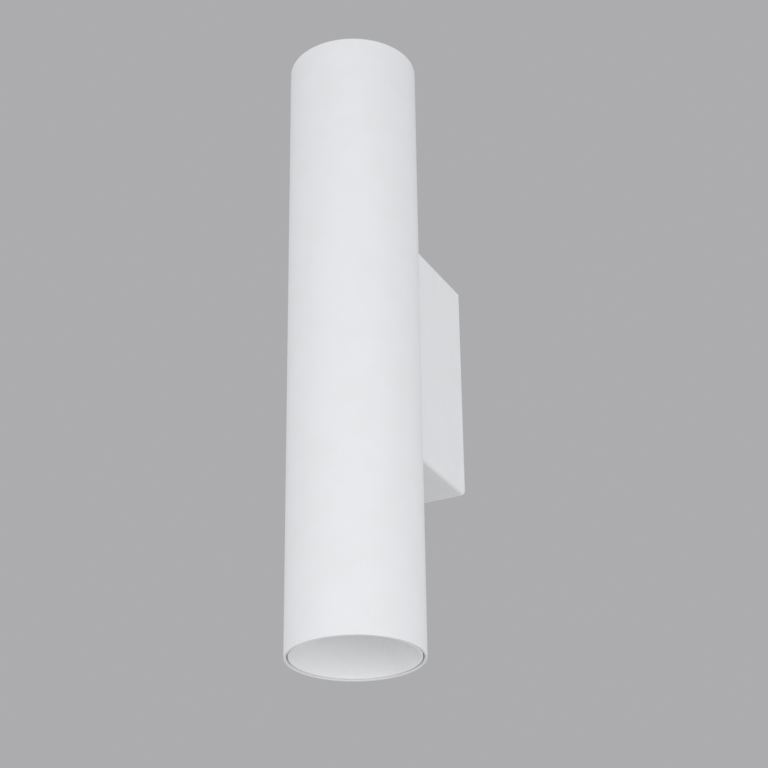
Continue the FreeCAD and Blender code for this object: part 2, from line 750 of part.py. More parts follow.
def make_lamp_body(end):
    """The lamp's turned shell: a rim round the lens, a cone and a straight neck."""
    body = end_body("lamp_body", end)
    profile = new_sketch(body, "XZ")
    lens_seat = f"{LAMP_TOP} - lensInset - lensThickness"
    neck = "lampNeckDiameter / 2"
    corners = [
        ("0", LAMP_BASE),
        (neck, LAMP_BASE),
        (neck, f"{LAMP_TOP} - lampConeHeight"),
        (LAMP_RADIUS, f"{LAMP_TOP} - lampRimHeight"),
        (LAMP_RADIUS, LAMP_TOP),
        ("lensDiameter / 2", LAMP_TOP),
        ("lensDiameter / 2", lens_seat),
        ("0", lens_seat),
    ]
    draw_outline(profile, corners)
    revolve(body, profile)
    top = number(LAMP_TOP)
    outer = number(LAMP_RADIUS)
    fillet(body, "rimRounding", lambda edge: is_level(edge, top) and edge.BoundBox.XMax > outer - TOLERANCE)
    return body


def make_lamp_lens(end):
    body = end_body("lamp_lens", end)
    disc = new_sketch(body, "XY", f"{LAMP_TOP} - lensInset - lensThickness")
    draw_circles(disc, [("0", "0")], "lensDiameter / 2 - lensClearance")
    pad(body, disc, "lensThickness")
    return body


def make_lamp_pins(end):
    body = end_body("lamp_pins", end)
    shanks = new_sketch(body, "XY", LAMP_BASE)
    draw_circles(shanks, PINS, "pinDiameter / 2")
    pad(body, shanks, "pinShankLength", reverse=True)
    heads = new_sketch(body, "XY", f"{LAMP_BASE} - pinShankLength")
    draw_circles(heads, PINS, "pinHeadDiameter / 2")
    pad(body, heads, "pinHeadHeight", reverse=True)
    return body


def make_reflector(end):
    """A ring just inside the tube's end, and a gently curved cone down to a collar over the lamp."""
    body = end_body("reflector", end)
    profile = new_sketch(body, "XZ")
    corners = [
        (THROAT_RADIUS, THROAT),
        (COLLAR, THROAT),
        (COLLAR, f"{THROAT} + collarHeight"),
        (REFLECTOR_OUTER, f"{MOUTH_LEVEL} - skirtDepth"),
        (REFLECTOR_OUTER, MOUTH_LEVEL),
        (MOUTH_RADIUS, MOUTH_LEVEL),
    ]
    draw_outline(profile, corners, arcs={5: ("bowlRadius", -1)})
    revolve(body, profile)
    top = number(MOUTH_LEVEL)
    fillet(body, "rimRounding", lambda edge: is_level(edge, top))
    return body


def make_reflector_clips(end):
    """Leaf springs: a foot on the reflector's collar, a belly towards the tube and a tip turned back."""
    body = end_body("reflector_clips", end)
    leaf = new_sketch(body, "XZ")
    foot = f"({COLLAR} + clipFootGap)"
    belly = f"({TUBE_BORE} - clipTubeGap)"
    foot_top = f"{THROAT} + collarHeight"
    belly_level = f"{TUBE_END} - clipBellyDepth"
    tip_level = f"{TUBE_END} - clipTipDepth"
    corners = [
        (foot, f"{THROAT} + clipFootGap"),
        (f"{foot} + clipThickness", f"{THROAT} + clipFootGap"),
        (f"{foot} + clipThickness", foot_top),
        (belly, belly_level),
        (f"{belly} - clipTipSet", tip_level),
        (f"{belly} - clipTipSet - clipThickness", tip_level),
        (f"{belly} - clipThickness", belly_level),
        (foot, foot_top),
    ]
    draw_outline(leaf, corners)
    first = pad(body, leaf, "clipWidth", both=True)
    ring = body.newObject("PartDesign::PolarPattern", f"{body.Name}Pattern")
    ring.Originals = [first]
    ring.Axis = (origin_feature(body, "Z_Axis"), [""])
    ring.Angle = 360
    bind(ring, "Occurrences", "clipCount")
    body.Tip = ring
    finish_feature(body, ring)
    return body


# Leads. Each is a route of straight runs joined by tangent arcs.

def rounded_route(points):
    """The route's wire and its tightest bend."""
    edges = []
    start = points[0]
    tightest = math.inf
    for before, corner, after in zip(points, points[1:], points[2:]):
        arriving = corner - before
        leaving = after - corner
        reach = BEND_SHARE * min(arriving.Length, leaving.Length)
        half_turn = arriving.getAngle(leaving) / 2
        radius = reach / math.tan(half_turn)
        tightest = min(tightest, radius)
        arriving.normalize()
        leaving.normalize()
        inward = (leaving - arriving).normalize()
        arc_start = corner - arriving * reach
        arc_end = corner + leaving * reach
        middle = corner + inward * (radius / math.cos(half_turn) - radius)
        edges.append(Part.LineSegment(start, arc_start).toShape())
        edges.append(Part.Arc(arc_start, middle, arc_end).toShape())
        start = arc_end
    edges.append(Part.LineSegment(start, points[-1]).toShape())
    return Part.Wire(edges), tightest


def make_lead(label, route):
    points = [Vector(number(x), number(y), number(z)) for x, y, z in route]
    radius = number("wireDiameter / 2")
    path, tightest = rounded_route(points)
    section = Part.Wire([Part.Circle(points[0], points[1] - points[0], radius).toShape()])
    lead = document.addObject("Part::Feature", label)
    lead.Label = label
    lead.Shape = path.makePipeShell([section], True, True)
    lead.Placement = Placement()
    expected = math.pi * radius ** 2 * path.Length
    share = lead.Shape.Volume / expected
    print(f"{label}: length {path.Length:.1f}, tightest bend {tightest:.1f}, share of volume {share:.4f}")
    return lead


def make_lamp_lead(kind, side, end, up):
    """From a lampholder through the bush at mid-height, and over into the terminal block from above."""
    # the lower lamp's lead turns nearer the wall, and lies on the outer side of its pole
    place = -1 if end == "upper" else 1
    pole = f"{side} * (polePitch + {place} * (wireDiameter + doubleWireGap) / 2)"
    bush_x = f"{side} * bushLeadX"
    bush_z = f"{up} * bushLeadHeight"
    route = [
        (f"{side} * pinSpacing / 2", "-axisToWall", f"{up} * {HOLDER_CAVITY_FLOOR}"),
        (f"{side} * pinSpacing / 2", "-axisToWall", f"{up} * ({SHELF_BOTTOM} - leadBelowShelf)"),
        (f"{side} * leadBendX", "-axisToWall + leadBendToAxis", f"{up} * leadBendHeight"),
        (bush_x, "-axisToWall + leadTurnToAxis", bush_z),
        (bush_x, f"-{end}TurnToWall", bush_z),
        (f"{side} * {end}RiseX", f"-{end}RiseToWall", "leadBendHeight"),
        (pole, "-leadLoopToWall", f"{BLOCK_TOP} + leadLoopAboveBlock"),
        (pole, POLE_Y, f"{BLOCK_TOP} + leadLoopAboveBlock"),
        (pole, POLE_Y, LEAD_END),
    ]
    return make_lead(f"{kind}_wire_{end}", route)


def make_earth_wire():
    loop = f"{BLOCK_TOP} + earthLoopAboveBlock"
    route = [("0", CRIMP_Y, CRIMP_BOTTOM), ("0", CRIMP_Y, loop), ("0", POLE_Y, loop), ("0", POLE_Y, LEAD_END)]
    return make_lead("earth_wire", route)


def make_light():
    web_seat = f"-axisToWall + {WEB_REAR} + seatClearance"
    through_web = f"{WEB_REAR} + seatClearance - {STRAP_INNER}"
    pieces = [
        make_tube_body(),
        make_wall_box(),
        make_wall_plate(),
        make_bush("plate_bush", "-plateThickness", "plateThickness", flange_behind=False),
        make_box_screws(),
        make_inner_frame(),
        make_frame_screws(),
        make_frame_nuts(),
        make_frame_washer(),
        make_earth_tag(),
        make_bush("tube_bush", web_seat, through_web, flange_behind=True),
        make_terminal_block(),
        make_terminal_barrels(),
        make_terminal_screws(),
        make_block_screws(),
        make_earth_wire(),
    ]
    for end, up in (("upper", 1), ("lower", -1)):
        pieces += [
            make_lampholder(end),
            make_holder_contacts(end),
            make_holder_screws(end),
            make_lamp_body(end),
            make_lamp_lens(end),
            make_lamp_pins(end),
            make_reflector(end),
            make_reflector_clips(end),
            make_lamp_lead("live", -1, end, up),
            make_lamp_lead("neutral", 1, end, up),
        ]
    return pieces


def write_parts(pieces):
    document.recompute()
    faulty = [item.Name for item in document.Objects if {"Invalid", "Error"} & set(item.State)]
    if faulty:
        raise RuntimeError(f"failed objects: {faulty}")
    for piece in pieces:
        if piece.Shape.isNull() or not piece.Shape.isValid():
            raise RuntimeError(f"{piece.Label} has no valid shape")
    os.makedirs("parts", exist_ok=True)
    for piece in pieces:
        piece.Shape.exportStep(f"parts/{piece.Label}.step")
        print(f"{piece.Label}: {len(piece.Shape.Solids)} solids, {piece.Shape.Volume:.1f} mm3")


write_parts(make_light())
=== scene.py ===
import json
import math

import bpy
from mathutils import Matrix, Vector


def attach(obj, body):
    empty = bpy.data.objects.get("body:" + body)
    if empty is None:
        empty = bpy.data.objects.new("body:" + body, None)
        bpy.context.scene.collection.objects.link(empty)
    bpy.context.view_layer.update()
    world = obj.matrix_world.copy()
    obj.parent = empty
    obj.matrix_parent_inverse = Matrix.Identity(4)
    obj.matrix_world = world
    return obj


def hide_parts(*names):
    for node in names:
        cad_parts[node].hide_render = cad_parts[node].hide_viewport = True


# Everything is in metres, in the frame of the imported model: +Z up, +Y into the wall.
mm = 0.001
tolerance = 0.01 * mm
axisToWall = 64.5 * mm
sharpAngle = math.radians(40)
cutterReach = 5 * mm  # how far a cutter passes what it cuts

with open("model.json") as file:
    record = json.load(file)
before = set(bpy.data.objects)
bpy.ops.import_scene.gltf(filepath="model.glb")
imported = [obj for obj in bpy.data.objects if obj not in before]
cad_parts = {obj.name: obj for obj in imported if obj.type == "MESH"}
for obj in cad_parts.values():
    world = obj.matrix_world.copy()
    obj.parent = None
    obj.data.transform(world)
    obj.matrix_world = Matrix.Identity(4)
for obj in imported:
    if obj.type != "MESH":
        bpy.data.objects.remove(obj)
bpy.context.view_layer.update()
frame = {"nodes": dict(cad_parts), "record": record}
slotOf = {part["node"]: part["material_slot"] for part in frame["record"]["subparts"]}
bodyOf = {node: body for body, nodes in frame["record"]["behaviour"]["bodies"].items() for node in nodes}
print("frame loaded:", len(slotOf), "nodes")


# Shader signals

# One output socket of a material. Arithmetic on it adds Math nodes.
class Signal:
    def __init__(self, tree, socket):
        self.tree = tree
        self.socket = socket

    def node(self, kind, settings=None, inputs=None, output=0):
        added = self.tree.nodes.new(kind)
        for name, value in (settings or {}).items():
            setattr(added, name, value)
        for name, value in (inputs or {}).items():
            feed(added.inputs[name], value)
        return Signal(self.tree, added.outputs[output])

    def maths(self, operation, first, second=0.0):
        return self.node("ShaderNodeMath", {"operation": operation}, {0: first, 1: second})

    def __add__(self, other):
        return self.maths("ADD", self, other)

    def __radd__(self, other):
        return self.maths("ADD", other, self)

    def __sub__(self, other):
        return self.maths("SUBTRACT", self, other)

    def __rsub__(self, other):
        return self.maths("SUBTRACT", other, self)

    def __mul__(self, other):
        return self.maths("MULTIPLY", self, other)

    def __rmul__(self, other):
        return self.maths("MULTIPLY", other, self)

    def __truediv__(self, other):
        return self.maths("DIVIDE", self, other)

    def __rtruediv__(self, other):
        return self.maths("DIVIDE", other, self)

    # Rises smoothly from 0 to 1 while the signal goes from low to high.
    def between(self, low, high):
        settings = {"interpolation_type": "SMOOTHSTEP"}
        return self.node("ShaderNodeMapRange", settings, {"Value": self, "From Min": low, "From Max": high})

    def stretched(self, x, y, z):
        return self.node("ShaderNodeVectorMath", {"operation": "MULTIPLY"}, {0: self, 1: (x, y, z)})

    def noise(self, scale, detail=2.0):
        return self.node("ShaderNodeTexNoise", None, {"Vector": self, "Scale": scale, "Detail": detail})

    # How far the signal is from the middle of its period, as a share of the period.
    def swing(self, period):
        return self.maths("FRACT", self / period) - 0.5

    def blend(self, first, second):
        return self.node("ShaderNodeMix", {"data_type": "RGBA"}, {0: self, 6: first, 7: second}, output=2)


def feed(socket, value):
    if isinstance(value, Signal):
        value.tree.links.new(value.socket, socket)
    else:
        socket.default_value = value


# A colour from its red, green and blue as they look on a screen, 0 to 255.
def tint(red, green, blue):
    linear = [((part / 255 + 0.055) / 1.055) ** 2.4 for part in (red, green, blue)]
    return (*linear, 1.0)


def newMaterial(name):
    material = bpy.data.materials.new(name)
    material.use_nodes = True
    tree = material.node_tree
    coordinates = tree.nodes.new("ShaderNodeTexCoord")
    return material, Signal(tree, coordinates.outputs["Object"])


# Sets the surface's sockets and presses the relief into it, so many metres deep.
def finishMaterial(material, place, sockets, relief, depth):
    surface = material.node_tree.nodes["Principled BSDF"]
    for name, value in sockets.items():
        feed(surface.inputs[name], value)
    bump = place.node("ShaderNodeBump", None, {"Height": relief, "Distance": depth})
    feed(surface.inputs["Normal"], bump)
    return material


# Materials

# Powder coat: a fine orange peel, a faint mottle and hand marks that are a little glossier.
coatLook = {
    "colour": tint(231, 232, 235),
    "mottled": tint(229, 230, 232),
    "roughness": 0.52,
    "marks": 0.08,
    "grain": 1400,
    "grainDepth": 0.03 * mm,
}


def makeCoat(name, look):
    material, place = newMaterial(name)
    mottle = place.noise(90, 4).between(0.3, 0.75)
    marks = place.stretched(1, 1, 0.5).noise(55, 4).between(0.52, 0.72)
    grain = place.noise(look["grain"], 2)
    sockets = {
        "Base Color": mottle.blend(look["colour"], look["mottled"]),
        "Roughness": look["roughness"] - look["marks"] * marks + 0.06 * grain,
        "Specular IOR Level": 0.4,
    }
    return finishMaterial(material, place, sockets, grain, look["grainDepth"])


# The screws' paint is thinner than the box's and worn round the recess.
screwPaintLook = {
    "colour": tint(226, 227, 229),
    "metal": tint(168, 168, 170),
    "recess": 1.75 * mm,
    "toWall": 12 * mm,
}


def makeScrewPaint(name, look):
    material, place = newMaterial(name)
    level = place.stretched(1, 1, 0)
    centre = (0, -look["toWall"], 0)
    flat = level.node("ShaderNodeVectorMath", {"operation": "DISTANCE"}, {0: level, 1: centre}, output=1)
    chips = place.noise(2600, 3) + 0.35 * (1 - flat.between(0.8 * look["recess"], 1.3 * look["recess"]))
    worn = chips.between(0.78, 0.86)
    sockets = {
        "Base Color": worn.blend(look["colour"], look["metal"]),
        "Metallic": worn,
        "Roughness": 0.42 + 0.1 * place.noise(900, 2),
    }
    return finishMaterial(material, place, sockets, place.noise(1700, 2) - 0.5 * worn, 0.02 * mm)


# Moulded plastic: spark-eroded grain, and dust that settles in broad soft patches.
mouldedLook = {
    "colour": tint(242, 243, 246),
    "dusty": tint(238, 239, 241),
    "roughness": 0.5,
    "grain": 2600,
    "grainDepth": 0.02 * mm,
}


def makeMoulded(name, look):
    material, place = newMaterial(name)
    dust = place.noise(70, 4).between(0.45, 0.8)
    grain = place.noise(look["grain"], 2)
    sockets = {
        "Base Color": dust.blend(look["colour"], look["dusty"]),
        "Roughness": look["roughness"] + 0.12 * dust + 0.05 * grain,
        "Specular IOR Level": 0.4,
    }
    return finishMaterial(material, place, sockets, grain, look["grainDepth"])


# Zinc plate: a bluish bright metal, drawn lines along the sheet and dull handling marks.
zincLook = {
    "colour": tint(198, 201, 205),
    "dull": tint(188, 190, 191),
    "drawn": (1, 1, 0.03),
    "roughness": 0.34,
}


def makeMetal(name, look):
    material, place = newMaterial(name)
    lines = place.stretched(*look["drawn"]).noise(3200, 3)
    dull = place.noise(160, 4).between(0.45, 0.68)
    sockets = {
        "Base Color": dull.blend(look["colour"], look["dull"]),
        "Metallic": 1.0,
        "Roughness": look["roughness"] + 0.06 * dull + 0.12 * lines,
    }
    return finishMaterial(material, place, sockets, lines, 0.004 * mm)


springLook = {
    "colour": tint(176, 176, 178),
    "dull": tint(150, 147, 142),
    "drawn": (1, 1, 0.05),
    "roughness": 0.26,
}

brassLook = {
    "colour": tint(212, 178, 104),
    "dull": tint(176, 138, 74),
    "drawn": (0.1, 1, 1),
    "roughness": 0.27,
}


# Steatite and nylon: dense, matt, faintly speckled.
ceramicLook = {
    "colour": tint(232, 228, 218),
    "specks": tint(205, 198, 182),
    "roughness": 0.62,
    "grain": 2200,
    "subsurface": 0.0,
}

nylonLook = {
    "colour": tint(226, 223, 212),
    "specks": tint(216, 211, 196),
    "roughness": 0.46,
    "grain": 900,
    "subsurface": 0.15,
}


def makeSpeckled(name, look):
    material, place = newMaterial(name)
    specks = place.noise(look["grain"], 3)
    clouds = place.noise(90, 3).between(0.4, 0.75)
    spread = (0.6 * specks.between(0.6, 0.74) + 0.3 * clouds).between(0.0, 1.0)
    sockets = {
        "Base Color": spread.blend(look["colour"], look["specks"]),
        "Roughness": look["roughness"] + 0.1 * specks - 0.05 * clouds,
        "Subsurface Weight": look["subsurface"],
        "Subsurface Radius": (0.8 * mm, 0.6 * mm, 0.4 * mm),
    }
    return finishMaterial(material, place, sockets, specks, 0.015 * mm)


# The lamp's shell has a satin finish, the lens a frost over round lenslets, with painted shade in the
# grooves between them.
shellLook = {
    "colour": tint(228, 228, 226),
    "dusty": tint(214, 213, 209),
    "roughness": 0.36,
    "grain": 1500,
    "grainDepth": 0.012 * mm,
}

lensLook = {
    "colour": tint(236, 236, 232),
    # painted shade: the colour of the grooves between the lenslets
    "between": tint(222, 223, 222),
    "lensletPitch": 2.4 * mm,
    "depth": 0.35 * mm,
}


# The squared distance to the nearest point of a pattern of staggered rows, in pitches.
def staggered(place, pitch):
    row = math.sqrt(3)
    x = place.node("ShaderNodeSeparateXYZ", None, {"Vector": place})
    y = place.node("ShaderNodeSeparateXYZ", None, {"Vector": place}, output=1)
    distances = []
    for shift in (0, 0.5):
        across = (x + shift * pitch).swing(pitch)
        along = row * (y + shift * row * pitch).swing(row * pitch)
        distances.append(across * across + along * along)
    return x.maths("MINIMUM", *distances)


def makeLens(name, look):
    material, place = newMaterial(name)
    lenslet = staggered(place, look["lensletPitch"])
    frost = place.noise(3200, 2)
    sockets = {
        # painted shade: the colour darkens towards the edge of each lenslet
        "Base Color": lenslet.between(0.12, 0.3).blend(look["colour"], look["between"]),
        "Roughness": 0.3 + 0.12 * frost,
        "Coat Weight": 0.3,
        "Subsurface Weight": 0.3,
        "Subsurface Radius": (1.5 * mm, 1.5 * mm, 1.4 * mm),
    }
    return finishMaterial(material, place, sockets, 0.03 * frost - lenslet, look["depth"])


# Silicone leads: soft, a little dusty; the earth lead has a second colour along it.
leadLooks = {
    "brown_lead": {"colour": tint(110, 66, 42), "stripe": tint(110, 66, 42)},
    "blue_lead": {"colour": tint(52, 96, 168), "stripe": tint(52, 96, 168)},
    "green_lead": {"colour": tint(62, 138, 62), "stripe": tint(222, 200, 60)},
}
leadDust = tint(190, 186, 178)


def makeLead(name, look):
    material, place = newMaterial(name)
    across = place.node("ShaderNodeSeparateXYZ", None, {"Vector": place})
    stripe = across.between(-0.05 * mm, 0.05 * mm)
    dust = place.noise(240, 4).between(0.45, 0.85)
    plain = stripe.blend(look["colour"], look["stripe"])
    sockets = {
        "Base Color": (0.3 * dust).blend(plain, leadDust),
        "Roughness": 0.5 + 0.25 * dust,
    }
    return finishMaterial(material, place, sockets, place.noise(1500, 2), 0.02 * mm)


finishes = {
    "white_coat": makeCoat("whiteCoat", coatLook),
    "white_screw": makeScrewPaint("screwPaint", screwPaintLook),
    "reflector_white": makeMoulded("reflectorWhite", mouldedLook),
    "zinc_steel": makeMetal("zincSteel", zincLook),
    "spring_steel": makeMetal("springSteel", springLook),
    "brass": makeMetal("brass", brassLook),
    "ceramic": makeSpeckled("ceramic", ceramicLook),
    "natural_nylon": makeSpeckled("naturalNylon", nylonLook),
    "lamp_shell": makeMoulded("lampShell", shellLook),
    "lamp_lens": makeLens("lampLens", lensLook),
    **{slot: makeLead(slot, look) for slot, look in leadLooks.items()},
}
for nodeName, slot in slotOf.items():
    mesh = frame["nodes"][nodeName].data
    mesh.materials.clear()
    mesh.materials.append(finishes[slot])
print("materials made:", len(finishes))


# Modelling tools

def setMode(mode):
    bpy.ops.object.mode_set(mode=mode)


def makeActive(piece):
    bpy.ops.object.select_all(action="DESELECT")
    piece.select_set(True)
    bpy.context.view_layer.objects.active = piece


def nameNew(name):
    piece = bpy.context.object
    piece.name = name
    piece.data.name = name
    return piece


# Opens edit mode with only those vertices, edges or faces selected that pass the test.
def pick(piece, kind, test):
    makeActive(piece)
    setMode("EDIT")
    bpy.ops.mesh.select_mode(type=kind)
    bpy.ops.mesh.select_all(action="DESELECT")
    setMode("OBJECT")
    mesh = piece.data
    if kind == "VERT":
        for vertex in mesh.vertices:
            vertex.select = test(vertex.co)
    elif kind == "EDGE":
        for edge in mesh.edges:
            start, end = edge.vertices
            edge.select = test(mesh.vertices[start].co, mesh.vertices[end].co)
    else:
        for face in mesh.polygons:
            face.select = test(face.center, face.normal)
    setMode("EDIT")


# Merges what touches and turns the normals outward. Leaves edit mode.
def tidyMesh():
    bpy.ops.mesh.select_all(action="SELECT")
    bpy.ops.mesh.remove_doubles(threshold=0.001 * mm)
    bpy.ops.mesh.normals_make_consistent(inside=False)
    setMode("OBJECT")


def roundPicked(width, segments):
    bpy.ops.mesh.bevel(offset=width, offset_type="OFFSET", segments=segments, profile=0.5, affect="EDGES")
    setMode("OBJECT")


# Turns a profile of (radius, height) points about Z, by extruding a circle from point to point.
# A solid is closed by a face at each end of its profile, a ring by joining its ends.
def turnProfile(name, profile, segments, solid=False):
    radius, height = profile[0]
    filled = "NGON" if solid else "NOTHING"
    bpy.ops.mesh.primitive_circle_add(vertices=segments, radius=radius, fill_type=filled)
    piece = nameNew(name)
    setMode("EDIT")
    bpy.ops.mesh.select_all(action="SELECT")
    bpy.ops.transform.translate(value=(0, 0, height))
    for nextRadius, nextHeight in profile[1:] + ([] if solid else profile[:1]):
        bpy.ops.mesh.extrude_edges_move()
        growth = nextRadius / radius
        bpy.ops.transform.resize(value=(growth, growth, 1), center_override=(0, 0, 0))
        bpy.ops.transform.translate(value=(0, 0, nextHeight - height))
        radius, height = nextRadius, nextHeight
    if solid:
        bpy.ops.mesh.edge_face_add()
    tidyMesh()
    return piece


def reach(point):
    return math.hypot(point.x, point.y)


# Rounds the edge rings of a turned piece at the given (radius, height) places.
def roundRings(piece, places, width, segments):
    def isPlace(point):
        return any(abs(reach(point) - r) < tolerance and abs(point.z - z) < tolerance for r, z in places)

    pick(piece, "EDGE", lambda start, end: isPlace(start) and isPlace(end))
    roundPicked(width, segments)


def addBlock(name, low, high):
    bpy.ops.mesh.primitive_cube_add(size=1)
    piece = nameNew(name)
    setMode("EDIT")
    bpy.ops.mesh.select_all(action="SELECT")
    bpy.ops.transform.resize(value=[b - a for a, b in zip(low, high)], center_override=(0, 0, 0))
    bpy.ops.transform.translate(value=[(a + b) / 2 for a, b in zip(low, high)])
    setMode("OBJECT")
    return piece


def addBar(start, end, radius, segments=64):
    along = Vector(end) - Vector(start)
    middle = (Vector(end) + Vector(start)) / 2
    turn = along.to_track_quat("Z", "Y").to_euler()
    bpy.ops.mesh.primitive_cylinder_add(
        vertices=segments, radius=radius, depth=along.length, location=middle, rotation=turn
    )
    return bpy.context.object


# A bar that stands upright, so far above and below the middle.
def addUpright(y, far, radius, segments=64):
    return addBar((0, y, -far), (0, y, far), radius, segments)


def applyModifier(piece, kind, settings):
    makeActive(piece)
    modifier = piece.modifiers.new(kind.lower(), kind)
    for name, value in settings.items():
        setattr(modifier, name, value)
    bpy.ops.object.modifier_apply(modifier=modifier.name)


def cutOut(piece, cutter):
    applyModifier(piece, "BOOLEAN", {"operation": "DIFFERENCE", "object": cutter})
    bpy.data.objects.remove(cutter)


def softenEdges(piece, width):
    settings = {
        "width": width,
        "segments": 2,
        "limit_method": "ANGLE",
        "angle_limit": sharpAngle,
        "use_clamp_overlap": True,
        "harden_normals": False,
    }
    applyModifier(piece, "BEVEL", settings)


# Keeps flat faces flat beside the softened edges.
def flattenShading(piece):
    makeActive(piece)
    bpy.ops.object.shade_smooth_by_angle(angle=sharpAngle)
    applyModifier(piece, "WEIGHTED_NORMAL", {"keep_sharp": True, "weight": 80})


def isAlongY(start, end):
    return abs(start.x - end.x) < tolerance and abs(start.z - end.z) < tolerance


# Moves and turns a finished mesh into its place, smooths it, and shows it instead of a CAD node.
def standFor(piece, node, move=(0, 0, 0), turn=(0, 0, 0), edged=False):
    makeActive(piece)
    piece.location = move
    piece.rotation_euler = turn
    bpy.ops.object.transform_apply(location=True, rotation=True, scale=True)
    if edged:
        flattenShading(piece)
    else:
        bpy.ops.object.shade_smooth_by_angle(angle=sharpAngle)
    piece.data.materials.append(finishes[slotOf[node]])
    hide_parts(node)
    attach(piece, bodyOf[node])
    print("modelled:", piece.name, len(piece.data.polygons), "faces")


# What is in both ends of the tube is modelled once, for the upper end, and a copy is turned end for end.
def standAtEnds(piece, node):
    kind = piece.name
    makeActive(piece)
    bpy.ops.object.duplicate()
    standFor(nameNew(f"{kind}Lower"), f"{node}_lower", (0, -axisToWall, 0), (math.pi, 0, 0))
    makeActive(piece)
    standFor(nameNew(f"{kind}Upper"), f"{node}_upper", (0, -axisToWall, 0))


# The round tube, with the holes for leads and screws in its back.
tubeSizes = {
    "radius": 29.97 * mm,
    "wall": 1.17 * mm,
    "end": 148 * mm,
    "rimRounding": 0.35 * mm,
    "leadHole": 6 * mm,
    "screwHole": 2.2 * mm,
    "screwHeight": 28 * mm,
    "holeReach": 40 * mm,
    "segments": 192,
}


# Cuts the lead hole and the two screw holes from the tube's axis towards the wall.
def cutBackHoles(piece, middleY):
    size = tubeSizes
    height = size["screwHeight"]
    holes = [(0, size["leadHole"]), (height, size["screwHole"]), (-height, size["screwHole"])]
    for z, radius in holes:
        cutOut(piece, addBar((0, middleY, z), (0, middleY + size["holeReach"], z), radius))


def makeTube():
    size = tubeSizes
    outer = size["radius"]
    inner = outer - size["wall"]
    end = size["end"]
    tube = turnProfile("tube", [(outer, -end), (outer, end), (inner, end), (inner, -end)], size["segments"])
    rims = [(radius, z) for radius in (outer, inner) for z in (end, -end)]
    roundRings(tube, rims, size["rimRounding"], 4)
    cutBackHoles(tube, 0)
    standFor(tube, "tube_body", (0, -axisToWall, 0))


# The wall box: a thin shell, open at the back, hollowed at the front to sit on the tube.
boxSizes = {
    "width": 47 * mm,
    "height": 107 * mm,
    "depth": 46.5 * mm,
    "wall": 1.5 * mm,
    "corner": 2 * mm,
    "innerCorner": 1 * mm,
    "saddle": 30.1 * mm,
    "webRear": 32.1 * mm,
    "screwToWall": 12 * mm,
    "screwHole": 1.7 * mm,
    "edgeRounding": 0.2 * mm,
    "saddleSegments": 256,
}


def makeWallBox():
    size = boxSizes
    x = size["width"] / 2
    z = size["height"] / 2
    far = z + cutterReach
    segments = size["saddleSegments"]
    box = addBlock("wallBox", (-x, -size["depth"], -z), (x, 0, z))
    pick(box, "EDGE", isAlongY)
    roundPicked(size["corner"], 10)
    cutOut(box, addUpright(-axisToWall, far, size["saddle"], segments))
    hollow = addBlock(
        "hollow",
        (size["wall"] - x, -size["depth"], size["wall"] - z),
        (x - size["wall"], cutterReach, z - size["wall"]),
    )
    pick(hollow, "EDGE", isAlongY)
    roundPicked(size["innerCorner"], 4)
    cutOut(hollow, addUpright(-axisToWall, far, size["webRear"], segments))
    cutOut(box, hollow)
    cutBackHoles(box, -axisToWall)
    cutOut(box, addUpright(-size["screwToWall"], far, size["screwHole"]))
    softenEdges(box, size["edgeRounding"])
    standFor(box, "wall_box", edged=True)


# The two round-headed screws in the box's top and bottom, with a cross recess.
boxScrewSizes = {
    "seat": 53.5 * mm,
    "toWall": 12 * mm,
    "head": 2.8 * mm,
    "headHeight": 1.6 * mm,
    "dome": 0.95 * mm,
    "shank": 1.5 * mm,
    "length": 6 * mm,
    "threadPitch": 0.5 * mm,
    "threadDepth": 0.2 * mm,
    "plainTip": 0.2 * mm,
    "plainNeck": 0.5 * mm,
    "recess": (0.5 * mm, 1.6 * mm, 0.9 * mm),  # half an arm's width, its reach, its depth
}


def makeBoxScrews():
    size = boxScrewSizes
    seat = size["seat"]
    top = seat + size["headHeight"]
    shank = size["shank"]
    root = shank - size["threadDepth"]
    turns = int((size["length"] - size["plainTip"] - size["plainNeck"]) / size["threadPitch"])
    profile = [(root, seat - size["length"])]
    for turn in range(turns):
        low = seat - size["length"] + size["plainTip"] + turn * size["threadPitch"]
        profile += [(shank, low), (root, low + size["threadPitch"] / 2)]
    profile += [(shank, seat - size["plainNeck"]), (shank, seat), (size["head"], seat), (size["head"], top)]
    screw = turnProfile("boxScrews", profile, 48, solid=True)
    roundRings(screw, [(size["head"], top)], size["dome"], 8)
    half, arm, depth = size["recess"]
    for x, y in ((half, arm), (arm, half)):
        cutOut(screw, addBlock("recess", (-x, -y, top - depth), (x, y, top + depth)))
    makeActive(screw)
    setMode("EDIT")
    bpy.ops.mesh.select_all(action="SELECT")
    bpy.ops.mesh.duplicate()
    bpy.ops.transform.rotate(value=math.pi, orient_axis="X", center_override=(0, 0, 0))
    setMode("OBJECT")
    standFor(screw, "box_screws", (0, -size["toWall"], 0))


# The sheet steel wall plate, with a tab bent forward at each end.
plateSizes = {
    "width": 42.6 * mm,
    "height": 103.6 * mm,
    "thickness": 1.5 * mm,
    "corner": 1.5 * mm,
    "tabWidth": 20 * mm,
    "tabDepth": 20 * mm,
    "tabHole": 1.55 * mm,
    "tabHoleToWall": 12 * mm,
    "slotHeight": 30 * mm,
    "slotRadius": 2.25 * mm,
    "slotStraight": 5.5 * mm,
    "entryHole": 6 * mm,
    "blockHoles": (4.5 * mm, 16.5 * mm, 1.3 * mm),  # across, height, radius
    "smallHoleSegments": 32,
    "edgeRounding": 0.15 * mm,
}


# A bar along Y, through the plate.
def addThrough(x, z, radius, segments=64):
    return addBar((x, -cutterReach, z), (x, cutterReach, z), radius, segments)


